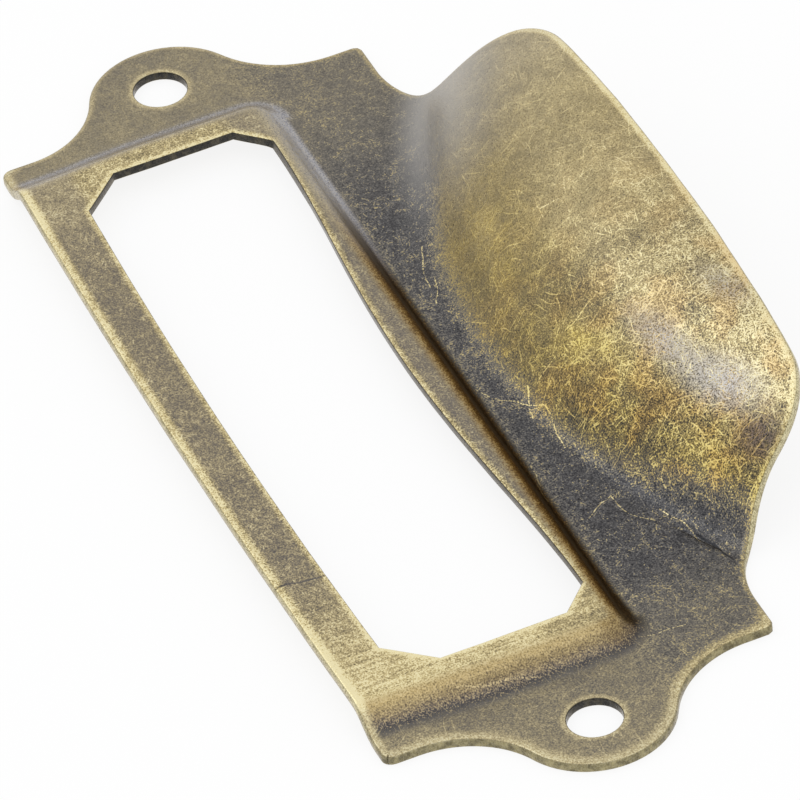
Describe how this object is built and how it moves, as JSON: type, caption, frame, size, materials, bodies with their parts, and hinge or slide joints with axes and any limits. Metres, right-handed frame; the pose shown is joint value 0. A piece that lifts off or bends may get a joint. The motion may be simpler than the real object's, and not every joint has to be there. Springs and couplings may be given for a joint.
{
  "type": "label frame pull",
  "caption": "Stamped antique-brass label frame with an open-edged card tray, an eight-sided window, a screw ear at each end and a domed finger lip for pulling a drawer.",
  "frame": {"origin": "midway between the two screw holes, on the flat back that lies against the drawer", "axes": "+X along the length from one screw ear to the other, +Y towards the open card edge, +Z out of the face away from the drawer; the part is mirror-symmetric about X = 0"},
  "size_m": [0.0786, 0.0351, 0.0092],
  "materials": {
    "antique_brass": "dark brown and grey antique patina, brushed and rubbed back to pale brass along the edges and on the lip"
  },
  "bodies": {
    "root": {"label_frame_pull": "antique_brass"}
  },
  "joints": []
}
